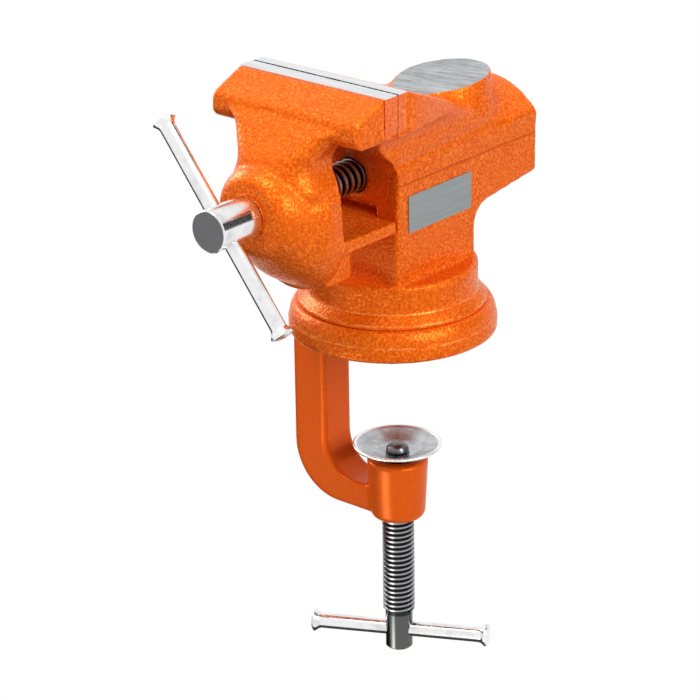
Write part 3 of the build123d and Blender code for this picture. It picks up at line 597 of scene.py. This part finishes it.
def spindle_material(effects):
    """Bright turned head with a ringed end face, and a dark oiled thread whose lighter crests are
    partly worn bare and partly a painted highlight.
    """
    material, nodes, shader = surface("turned spindle", metallic=1.0)
    plate = use_effect(nodes, effects["plating"])
    _, (x, y, z) = nodes.place()
    out = nodes.radius(x, nodes.math("SUBTRACT", z, SPINDLE_Z * MM))
    face = nodes.past(y, HEAD_FRONT_Y + 0.12, HEAD_FRONT_Y + 0.04)
    ring = nodes.rings(out, HEAD_RING_PITCH)
    face_colour = nodes.mix(nodes.smooth(ring, -0.6, 0.9), SPINDLE_FACE_DARK, SPINDLE_FACE_LIGHT)
    threaded = nodes.past(y, SPINDLE_OILED_Y - 2.0, SPINDLE_OILED_Y)
    # Lighter crests, partly worn bare and partly a painted highlight along the thread's ridges.
    crest = nodes.past(out, SPINDLE_ROOT + 0.75, JOURNAL_RADIUS - 0.02)
    thread_colour = nodes.mix(crest, NEAR_BLACK, SPINDLE_CREST)
    colour = nodes.mix(threaded, nodes.mix(face, plate["Color"], face_colour), thread_colour)
    roughness = nodes.blend(threaded, nodes.blend(face, plate["Roughness"], 0.34), 0.3)
    plate_height = nodes.math("MULTIPLY", plate["Height"], 0.1)
    height = nodes.blend(face, plate_height, nodes.math("MULTIPLY", ring, 0.12))
    dress(nodes, shader, colour, roughness, height, depth=0.06)
    return material


def clamp_screw_material(effects):
    """Dark clamp thread whose lighter crests are partly worn bare and partly a painted highlight, over
    a tail of dark steel.
    """
    material, nodes, shader = surface("clamp thread", metallic=1.0)
    plate = use_effect(nodes, effects["plating"])
    _, (x, y, z) = nodes.place()
    out = nodes.radius(nodes.math("SUBTRACT", x, CLAMP_X * MM), y)
    threaded = nodes.past(z, CLAMP_THREAD_Z - 0.6, CLAMP_THREAD_Z - 0.1)
    # Lighter crests, partly worn bare and partly a painted highlight along the thread's ridges.
    crest = nodes.past(out, CLAMP_ROOT + 0.15, CLAMP_RADIUS - 0.05)
    thread_colour = nodes.mix(crest, CLAMP_THREAD_DARK, CLAMP_CREST)
    colour = nodes.mix(threaded, CLAMP_TAIL, thread_colour)
    roughness = nodes.blend(threaded, plate["Roughness"], 0.3)
    dress(nodes, shader, colour, roughness, plate["Height"], depth=0.008)
    return material


def rivet_material(effects):
    """Dark peened rivet head."""
    material, nodes, shader = surface("peened rivet", metallic=1.0)
    zinc = use_effect(nodes, effects["zinc"])
    coordinate, _ = nodes.place()
    peening = nodes.noise(coordinate, scale=520, detail=1.0)
    dress(nodes, shader, nodes.mix(0.7, zinc["Color"], NEAR_BLACK), zinc["Roughness"], peening, depth=0.25)
    return material


def plated_material(effects):
    """Bright plating for the tommy bars."""
    material, nodes, shader = surface("bright plating", metallic=1.0)
    plate = use_effect(nodes, effects["plating"])
    dress(nodes, shader, plate["Color"], plate["Roughness"], plate["Height"], depth=0.006)
    return material


def zinc_material(effects):
    """Zinc plating for the pivot's fasteners and the small screws."""
    material, nodes, shader = surface("zinc plating", metallic=1.0)
    zinc = use_effect(nodes, effects["zinc"])
    dress(nodes, shader, zinc["Color"], zinc["Roughness"], zinc["Height"], depth=0.01)
    return material


def pad_material(effects):
    """Pressed zinc sheet with faint rings, a painted radial sheen that runs out from the centre and a
    painted highlight on the rim.
    """
    material, nodes, shader = surface("pressed pad", metallic=1.0)
    zinc = use_effect(nodes, effects["zinc"])
    _, (x, y, _z) = nodes.place()
    x = nodes.math("SUBTRACT", x, CLAMP_X * MM)
    out = nodes.radius(x, y)
    # Painted radial highlights: streaks of sheen running out from the centre, which also vary the
    # roughness.
    inputs = {"W": nodes.math("ARCTAN2", y, x), "Scale": 3.4, "Detail": 3.0}
    radial_sheen = nodes.add("ShaderNodeTexNoise", inputs, noise_dimensions="1D").outputs["Fac"]
    tone = nodes.blend(0.5, nodes.smooth(radial_sheen, 0.3, 0.7), 1.0)
    # A painted highlight along the rolled rim.
    rim = nodes.past(out, PAD_RADIUS - 1.7, PAD_RADIUS - 1.3)
    colour = nodes.mix(rim, nodes.mix(tone, ZINC_DULL, zinc["Color"]), PAD_RIM_HIGHLIGHT)
    ring = nodes.math("MULTIPLY", nodes.rings(out, PAD_RING_PITCH), 0.3)
    height = nodes.math("ADD", ring, zinc["Height"])
    dress(nodes, shader, colour, nodes.blend(tone, 0.36, 0.24), height, depth=0.012)
    return material


def iron_material(_effects):
    """Bare oiled cast iron of the spindle nut."""
    material, nodes, shader = surface("oiled iron", metallic=0.6)
    coordinate, _ = nodes.place()
    grain = nodes.noise(coordinate, scale=900, detail=3.0, roughness=0.6)
    colour = nodes.mix(grain, IRON_DARK, IRON)
    dress(nodes, shader, colour, nodes.blend(grain, 0.4, 0.6), grain, depth=0.05)
    return material


def dark_steel_material(effects):
    """Oiled plain steel of the collar and its pin."""
    material, nodes, shader = surface("oiled steel", metallic=1.0)
    zinc = use_effect(nodes, effects["zinc"])
    colour = nodes.mix(0.6, zinc["Color"], NEAR_BLACK)
    dress(nodes, shader, colour, zinc["Roughness"], zinc["Height"], depth=0.01)
    return material


def label_material(_effects):
    """Plain grey metal label, finely brushed along its length."""
    material, nodes, shader = surface("brushed label", metallic=0.2)
    coordinate, _ = nodes.place()
    line = nodes.lines(coordinate, (3000, 70, 3000))
    colour = nodes.mix(nodes.smooth(line, 0.3, 0.7), LABEL_DARK, LABEL)
    dress(nodes, shader, colour, nodes.blend(line, 0.36, 0.5), line, depth=0.008)
    return material


def make_materials():
    """All the finishes of the vise by name."""
    effects = {
        "enamel": hammered_enamel(),
        "ground": ground_lines(),
        "plating": drawn_plating(),
        "zinc": zinc_finish(),
    }
    makers = {
        "enamel": enamel_material,
        "body": body_material,
        "frame": frame_material,
        "anvil": anvil_material,
        "jaw_plate": jaw_plate_material,
        "spindle": spindle_material,
        "clamp_screw": clamp_screw_material,
        "rivet": rivet_material,
        "plated": plated_material,
        "zinc": zinc_material,
        "pad": pad_material,
        "iron": iron_material,
        "dark_steel": dark_steel_material,
        "label": label_material,
    }
    return {name: maker(effects) for name, maker in makers.items()}


# ---- castings ---------------------------------------------------------------
def cast_copy(node, name, grain, rounds):
    """A softened copy of a cast node: merged, remeshed fine and relaxed, as sand casting leaves it."""
    source = frame["nodes"][node]
    piece = source.copy()
    piece.data = source.data.copy()
    piece.name = name
    # The copy is a new piece, so it loses the marks of a CAD node.
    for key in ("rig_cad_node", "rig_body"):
        if key in piece:
            del piece[key]
    piece.parent = None
    bpy.context.scene.collection.objects.link(piece)
    close_up(piece)
    remesh = piece.modifiers.new("cast", "REMESH")
    remesh.mode = "VOXEL"
    remesh.voxel_size = grain * MM
    relax = piece.modifiers.new("relax", "SMOOTH")
    relax.factor = 0.5
    relax.iterations = rounds
    apply_all(piece)
    only(piece)
    bpy.ops.object.shade_smooth()
    return piece


def fade(value, none, full):
    """A share that is 0 at one place and 1 at another, in proportion between and beyond."""
    return (value - none) / (full - none)


def draw_in(piece, low, high, inner, depth):
    """Draws the outside of a round part of a casting in by a little, between two heights."""
    for vertex in piece.data.vertices:
        x, y, z = vertex.co
        radius = math.hypot(x, y)
        if low * MM < z < high * MM and radius > inner * MM:
            share = min(1.0, (z - low * MM) / MM, (high * MM - z) / MM)
            vertex.co.x *= 1 - share * depth * MM / radius
            vertex.co.y *= 1 - share * depth * MM / radius


def set_back_cheeks(body):
    """Sets the cheeks back a little under the crown, with a soft ledge along each side."""
    for vertex in body.data.vertices:
        x, y, z = (part / MM for part in vertex.co)
        share = min(1.0, fade(abs(x), 12.0, 16.0), fade(y, -28.0, -20.0))
        if share <= 0:
            continue
        above = z - (LEDGE_Z + LEDGE_SLOPE * y)
        near = math.exp(-(above / LEDGE_REACH) ** 2)
        shift = LEDGE_DEPTH * math.tanh(above / LEDGE_SOFTNESS) * near
        vertex.co.x += math.copysign(share * shift * MM, x)


def relax_anvil_foot(body):
    """Lets the anvil's neck flow into the crown below it without a crease."""
    group = body.vertex_groups.new(name="anvil_foot")
    for vertex in body.data.vertices:
        _x, y, z = (part / MM for part in vertex.co)
        share = min(
            1.0,
            fade(y, -8.0, 0.0),
            fade(y, 39.0, 34.0),
            fade(z, 62.0, 67.0),
            fade(z, 79.5, 75.5),
        )
        if share > 0:
            group.add([vertex.index], share, "REPLACE")
    relax = body.modifiers.new("relax_foot", "SMOOTH")
    relax.vertex_group = group.name
    relax.factor = 0.5
    relax.iterations = FOOT_ROUNDS
    apply_all(body)
    body.vertex_groups.clear()


def grind_anvil(body, finish):
    """Grinds the anvil's face flat and bare, at its slant."""
    wheel = cutter(ANVIL_RADIUS + 1.0, depth=20, sides=160)
    settle(wheel, (0, 0, 10))
    tilt = (math.degrees(math.atan(ANVIL_RISE_Y)), -math.degrees(math.atan(ANVIL_RISE_X)), 0)
    settle(wheel, (0, ANVIL_Y, ANVIL_TOP_Z - 0.3), tilt)
    wear(wheel, finish["anvil"])
    combine(body, wheel, "DIFFERENCE")


def add_turned_edge(casting, name, profile, material):
    """Gives a casting a crisp turned edge about the swivel axis."""
    ring = lathe(name, profile, steps=EDGE_STEPS)
    wear(ring, material)
    combine(casting, ring, "UNION")


def make_body(finish):
    """Body casting with its crisp turntable edge and its ground anvil."""
    body = cast_copy("vise_body", "body_casting", BODY_GRAIN, rounds=2)
    fit_piece(body, "body", "vise_body", finish["body"])
    relax_anvil_foot(body)
    set_back_cheeks(body)
    draw_in(body, low=9.0, high=15.4, inner=27.0, depth=0.15)
    add_turned_edge(body, "turned_foot", TURNTABLE_EDGE, finish["body"])
    grind_anvil(body, finish)
    shade(body, 38)


def make_clamp(finish):
    """Clamp casting with its crisp turned base disc."""
    clamp = cast_copy("clamp_frame", "clamp_casting", FINE_GRAIN, rounds=4)
    fit_piece(clamp, "frame", "clamp_frame", finish["frame"])
    draw_in(clamp, low=1.5, high=11.5, inner=28.0, depth=0.15)
    add_turned_edge(clamp, "turned_disc", DISC_EDGE, finish["frame"])
    shade(clamp, 38)


def make_moving_jaw(finish):
    """Moving jaw casting."""
    jaw = cast_copy("moving_jaw", "moving_jaw_casting", FINE_GRAIN, rounds=3)
    fit_piece(jaw, "jaw", "moving_jaw", finish["enamel"])


# ---- screws -----------------------------------------------------------------
def thread_profile(root, crest_radius, pitch, start):
    """(radius, place) points of one turn of a trapezoid thread."""
    flank = 0.22 * pitch
    crest = 0.28 * pitch
    return [
        (root, start),
        (crest_radius, start + flank),
        (crest_radius, start + flank + crest),
        (root, start + 2 * flank + crest),
        (root, start + pitch),
    ]


def run_out(piece, along, root, low, high):
    """Lets the thread's ridge die away to the root at both ends."""
    across = [axis for axis in range(3) if axis != along]
    ease = THREAD_RUN_OUT * MM
    for vertex in piece.data.vertices:
        place = vertex.co[along]
        share = min(1.0, max(0.0, (place - low * MM) / ease), max(0.0, (high * MM - place) / ease))
        radius = math.hypot(vertex.co[across[0]], vertex.co[across[1]])
        wanted = root * MM * 0.995 + (radius - root * MM * 0.995) * share
        if radius > 0:
            vertex.co[across[0]] *= wanted / radius
            vertex.co[across[1]] *= wanted / radius
        vertex.co[along] = min(max(place, low * MM), high * MM)


def wind_thread(name, axis, root, crest_radius, pitch, start, turns, end):
    """A helical thread about the Y or the Z axis, run out at its start and at its end."""
    profile = thread_profile(root, crest_radius, pitch, start)
    thread = lathe(name, profile, axis, steps=THREAD_STEPS, pitch=pitch, turns=turns)
    run_out(thread, "XYZ".index(axis), root, start, end)
    shade(thread, 30)
    return thread


def make_main_spindle(finish):
    """Spindle: drilled head, plain journal and a helical thread."""
    head = lathe("main_spindle_head", [
        (0, HEAD_FRONT_Y),
        (HEAD_RADIUS - HEAD_EDGE, HEAD_FRONT_Y),
        (HEAD_RADIUS, HEAD_FRONT_Y + HEAD_EDGE),
        (HEAD_RADIUS, HEAD_REAR_Y - HEAD_SHOULDER),
        (HEAD_RADIUS - HEAD_SHOULDER, HEAD_REAR_Y),
        (JOURNAL_RADIUS, HEAD_REAR_Y),
        (JOURNAL_RADIUS, SPINDLE_THREAD_Y - THREAD_CORNER),
        (SPINDLE_ROOT, SPINDLE_THREAD_Y),
        (SPINDLE_ROOT, SPINDLE_REAR_Y),
        (0, SPINDLE_REAR_Y),
    ], "Y")
    drill = cutter(BAR_RADIUS + BAR_PLAY, depth=30, sides=48)
    settle(drill, (0, SPINDLE_BAR_Y, 0), (0, 90 + SPINDLE_BAR_ANGLE, 0))
    combine(head, drill, "DIFFERENCE")
    shade(head, 30)
    thread = wind_thread(
        "spindle_thread",
        "Y",
        SPINDLE_ROOT,
        JOURNAL_RADIUS,
        SPINDLE_PITCH,
        SPINDLE_THREAD_Y,
        SPINDLE_TURNS,
        SPINDLE_REAR_Y,
    )
    spindle = join(head, thread)
    spindle.name = "main_spindle_turned"
    settle(spindle, (0, 0, SPINDLE_Z))
    fit_piece(spindle, "spindle", "main_spindle", finish["spindle"])


def make_clamp_screw(finish):
    """Clamp screw: helical thread over a plain tail, with the neck that the pad turns on."""
    floor = PAD_FLOOR_Z + PAD_SHEET
    core = lathe("clamp_screw_core", [
        (0, CLAMP_BOTTOM_Z),
        (CLAMP_TAIL_RADIUS - CLAMP_TAIL_EDGE, CLAMP_BOTTOM_Z),
        (CLAMP_TAIL_RADIUS, CLAMP_BOTTOM_Z + CLAMP_TAIL_EDGE),
        (CLAMP_TAIL_RADIUS, CLAMP_THREAD_Z - THREAD_CORNER),
        (CLAMP_ROOT, CLAMP_THREAD_Z),
        (CLAMP_ROOT, PAD_FLOOR_Z - 0.1),
        (RIVET_NECK_RADIUS, PAD_FLOOR_Z - 0.1),
        (RIVET_NECK_RADIUS, floor + 0.1),
        (0, floor + 0.1),
    ])
    shade(core, 30)
    thread = wind_thread(
        "clamp_thread",
        "Z",
        CLAMP_ROOT,
        CLAMP_RADIUS,
        CLAMP_PITCH,
        CLAMP_THREAD_Z,
        CLAMP_TURNS,
        CLAMP_THREAD_Z + CLAMP_TURNS * CLAMP_PITCH,
    )
    screw = join(core, thread)
    screw.name = "clamp_screw_turned"
    settle(screw, (CLAMP_X, 0, 0))
    fit_piece(screw, "screw", "clamp_screw", finish["clamp_screw"])


def make_pad_rivet(finish):
    """Peened head on the clamp screw's neck, which holds the pad."""
    floor = PAD_FLOOR_Z + PAD_SHEET
    rivet = lathe("pad_rivet_head", [
        (0, floor + 0.1),
        (3.7, floor + 0.1),
        (3.9, floor + 0.5),
        (3.75, floor + 1.4),
        (3.2, floor + 2.2),
        (2.2, floor + 2.8),
        (1.0, floor + 2.98),
        (0, floor + 3.0),
    ])
    only(rivet)
    bpy.ops.object.shade_smooth()
    settle(rivet, (CLAMP_X, 0, 0))
    fit_piece(rivet, "screw", None, finish["rivet"])


# ---- bars and pad -----------------------------------------------------------
def make_bar(name, length):
    """A plated bar along X with a flared, slightly domed button at each end."""
    half = length / 2
    end = [
        (half - 3.6, BAR_RADIUS),
        (half - 2.7, BAR_RADIUS + 0.25),
        (half - 2.0, BUTTON_RADIUS - 0.45),
        (half - 1.5, BUTTON_RADIUS - 0.05),
        (half - 1.0, BUTTON_RADIUS),
        (half - 0.6, BUTTON_RADIUS - 0.25),
        (half - 0.25, BUTTON_RADIUS - 1.1),
        (half, BUTTON_RADIUS - 2.6),
        (half, 0),
    ]
    points = [(-x, r, 0) for x, r in reversed(end)] + [(x, r, 0) for x, r in end]
    bar = turn(start_profile(name, points), "X")
    shade(bar, 35)
    return bar


def make_bars(finish):
    """The sliding tommy bars of the spindle and of the clamp screw, each a little off its middle."""
    angle = math.radians(SPINDLE_BAR_ANGLE)
    bar = make_bar("spindle_tommy_bar", SPINDLE_BAR_LENGTH)
    place = (BAR_SHIFT * math.cos(angle), SPINDLE_BAR_Y, SPINDLE_Z - BAR_SHIFT * math.sin(angle))
    settle(bar, place, (0, SPINDLE_BAR_ANGLE, 0))
    fit_piece(bar, "spindle_bar", "spindle_handle", finish["plated"])
    angle = math.radians(CLAMP_BAR_ANGLE)
    bar = make_bar("clamp_tommy_bar", CLAMP_BAR_LENGTH)
    place = (CLAMP_X + BAR_SHIFT * math.cos(angle), BAR_SHIFT * math.sin(angle), CLAMP_BAR_Z)
    settle(bar, place, (0, 0, CLAMP_BAR_ANGLE))
    fit_piece(bar, "clamp_bar", "clamp_handle", finish["plated"])


def make_pad(finish):
    """Pressed dish with a rolled rim."""
    floor = PAD_FLOOR_Z + PAD_SHEET
    pad = lathe("clamp_pad_pressed", [
        (PAD_HOLE_RADIUS, PAD_FLOOR_Z),
        (PAD_FLAT_RADIUS, PAD_FLOOR_Z),
        (PAD_FLAT_RADIUS + 1.6, PAD_FLOOR_Z + 0.35),
        (PAD_RADIUS - 3.0, PAD_RIM_Z - 1.95),
        (PAD_RADIUS - 1.2, PAD_RIM_Z - 1.35),
        (PAD_RADIUS - 0.35, PAD_RIM_Z - 1.1),
        (PAD_RADIUS, PAD_RIM_Z - 0.6),
        (PAD_RADIUS - 0.15, PAD_RIM_Z - 0.15),
        (PAD_RADIUS - 0.6, PAD_RIM_Z),
        (PAD_RADIUS - 1.1, PAD_RIM_Z - 0.12),
        (PAD_RADIUS - 1.6, PAD_RIM_Z - 0.5),
        (PAD_RADIUS - 3.4, PAD_RIM_Z - 1.0),
        (PAD_FLAT_RADIUS + 1.9, floor + 0.5),
        (PAD_FLAT_RADIUS + 0.4, floor),
        (PAD_HOLE_RADIUS, floor),
        (PAD_HOLE_RADIUS, PAD_FLOOR_Z),
    ])
    rounded = pad.modifiers.new("round", "SUBSURF")
    rounded.levels = 1
    rounded.render_levels = 1
    apply_all(pad)
    shade(pad, 50)
    settle(pad, (CLAMP_X, 0, 0))
    fit_piece(pad, "pad", "clamp_pad", finish["pad"])


def dress_nodes(finish):
    """Gives the carried-over nodes their finishes."""
    worn = {
        "fixed_jaw_plate": "jaw_plate",
        "moving_jaw_plate": "jaw_plate",
        "fixed_jaw_screws": "zinc",
        "moving_jaw_screws": "zinc",
        "spindle_nut": "iron",
        "nut_screw": "zinc",
        "name_plate": "label",
        "spindle_collar": "dark_steel",
        "collar_pin": "dark_steel",
        "pivot_bolt": "zinc",
        "pivot_washer": "zinc",
        "pivot_spring_washer": "zinc",
        "pivot_nut": "zinc",
    }
    for node, name in worn.items():
        wear(frame["nodes"][node], finish[name])


# ---- stage ------------------------------------------------------------------
def plain_material(name, colour, roughness):
    """An even matt material, for the stage alone."""
    material, _nodes, shader = surface(name)
    shader.inputs["Base Color"].default_value = colour
    shader.inputs["Roughness"].default_value = roughness
    return material


def make_floor():
    """A round pale floor below the clamp."""
    bpy.ops.object.select_all(action="DESELECT")
    bpy.ops.mesh.primitive_circle_add(vertices=96, radius=FLOOR_RADIUS * MM, fill_type="NGON")
    floor = bpy.context.object
    floor.name = "floor"
    settle(floor, (0, 0, FLOOR_Z))
    wear(floor, plain_material("pale floor", FLOOR_PALE, 0.8))


def make_world():
    """Soft even light from all round, seen as white by the camera and in reflections."""
    world = bpy.data.worlds.new("studio")
    world.use_nodes = True
    bpy.context.scene.world = world
    nodes = Nodes(world.node_tree)
    path = nodes.add("ShaderNodeLightPath").outputs
    seen = nodes.math("MAXIMUM", path["Is Camera Ray"], path["Is Glossy Ray"])
    seen = nodes.math("MAXIMUM", seen, path["Is Transmission Ray"])
    background = world.node_tree.nodes["Background"]
    background.inputs["Color"].default_value = WHITE
    nodes.feed(background.inputs["Strength"], nodes.blend(seen, WORLD_LIGHT, 1.0))


def add_lamp(name, place, target, size, power, spread=180):
    """A square soft lamp that points at a place: millimetres, watts and degrees."""
    light = bpy.data.lights.new(name, "AREA")
    light.shape = "SQUARE"
    light.size = size * MM
    light.energy = power
    light.spread = math.radians(spread)
    lamp = bpy.data.objects.new(name, light)
    bpy.context.scene.collection.objects.link(lamp)
    lamp.location = Vector(place) * MM
    aim = Vector(target) * MM - lamp.location
    lamp.rotation_euler = aim.to_track_quat("-Z", "Y").to_euler()


def make_lamps():
    """Soft boxes above, on the left and on the right, and a faint narrow one from below."""
    add_lamp("top_lamp", (-40, -220, 580), (0, -10, 40), size=300, power=2.5)
    add_lamp("left_lamp", (-560, -20, 260), (0, -20, 20), size=300, power=2.1)
    add_lamp("right_lamp", (560, -60, 300), (0, 0, 20), size=360, power=2.95)
    add_lamp("low_lamp", (-60, -280, -240), (-20, 0, -60), size=160, power=0.035, spread=45)


def add_card(name, direction, distance, width, height):
    """A dark card on the stage, seen only in reflections, that faces the vise."""
    bpy.ops.object.select_all(action="DESELECT")
    bpy.ops.mesh.primitive_plane_add(size=MM)
    card = bpy.context.object
    card.name = name
    place = Vector(direction).normalized() * distance * MM
    card.scale = (width, height, 1)
    card.rotation_euler = (-place).to_track_quat("Z", "Y").to_euler()
    card.location = place
    only(card)
    bpy.ops.object.transform_apply(location=True, rotation=True, scale=True)
    wear(card, plain_material(name, CARD_BLACK, 0.9))
    card.visible_camera = False
    card.visible_diffuse = False
    card.visible_shadow = False
    card.visible_transmission = False


def make_cards():
    """Dark cards that draw crisp dark lines on the bright bars and on the spindle's head."""
    add_card("low_left_card", (-0.82, -0.19, -0.55), 520, 480, 480)
    add_card("rear_right_card", (0.60, 0.70, 0.36), 620, 380, 330)
    add_card("low_card", (-0.1, 0.0, -1.0), 290, 260, 260)


def make_camera():
    """Camera with a long lens, in front of the vise to its right and a little above."""
    azimuth, elevation, roll = (math.radians(a) for a in CAMERA_ANGLES)
    right = Vector((math.cos(azimuth), math.sin(azimuth), 0))
    back = Vector((
        math.sin(azimuth) * math.cos(elevation),
        -math.cos(azimuth) * math.cos(elevation),
        math.sin(elevation),
    ))
    up = back.cross(right)
    turned_right = right * math.cos(roll) - up * math.sin(roll)
    turned_up = right * math.sin(roll) + up * math.cos(roll)
    basis = Matrix((turned_right, turned_up, back)).transposed()
    data = bpy.data.cameras.new("camera")
    data.sensor_width = 36
    data.lens = CAMERA_LENS
    data.clip_start = 0.05
    data.clip_end = 20
    camera = bpy.data.objects.new("camera", data)
    bpy.context.scene.collection.objects.link(camera)
    place = basis @ Vector(CAMERA_PLACE) * MM
    camera.matrix_world = Matrix.Translation(place) @ basis.to_4x4()
    bpy.context.scene.camera = camera


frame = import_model()
finish = make_materials()
make_body(finish)
make_clamp(finish)
make_moving_jaw(finish)
make_main_spindle(finish)
make_clamp_screw(finish)
make_pad_rivet(finish)
make_bars(finish)
make_pad(finish)
dress_nodes(finish)
make_floor()
make_world()
make_lamps()
make_cards()
make_camera()
bpy.context.scene.view_settings.view_transform = "Standard"
bpy.ops.object.select_all(action="DESELECT")
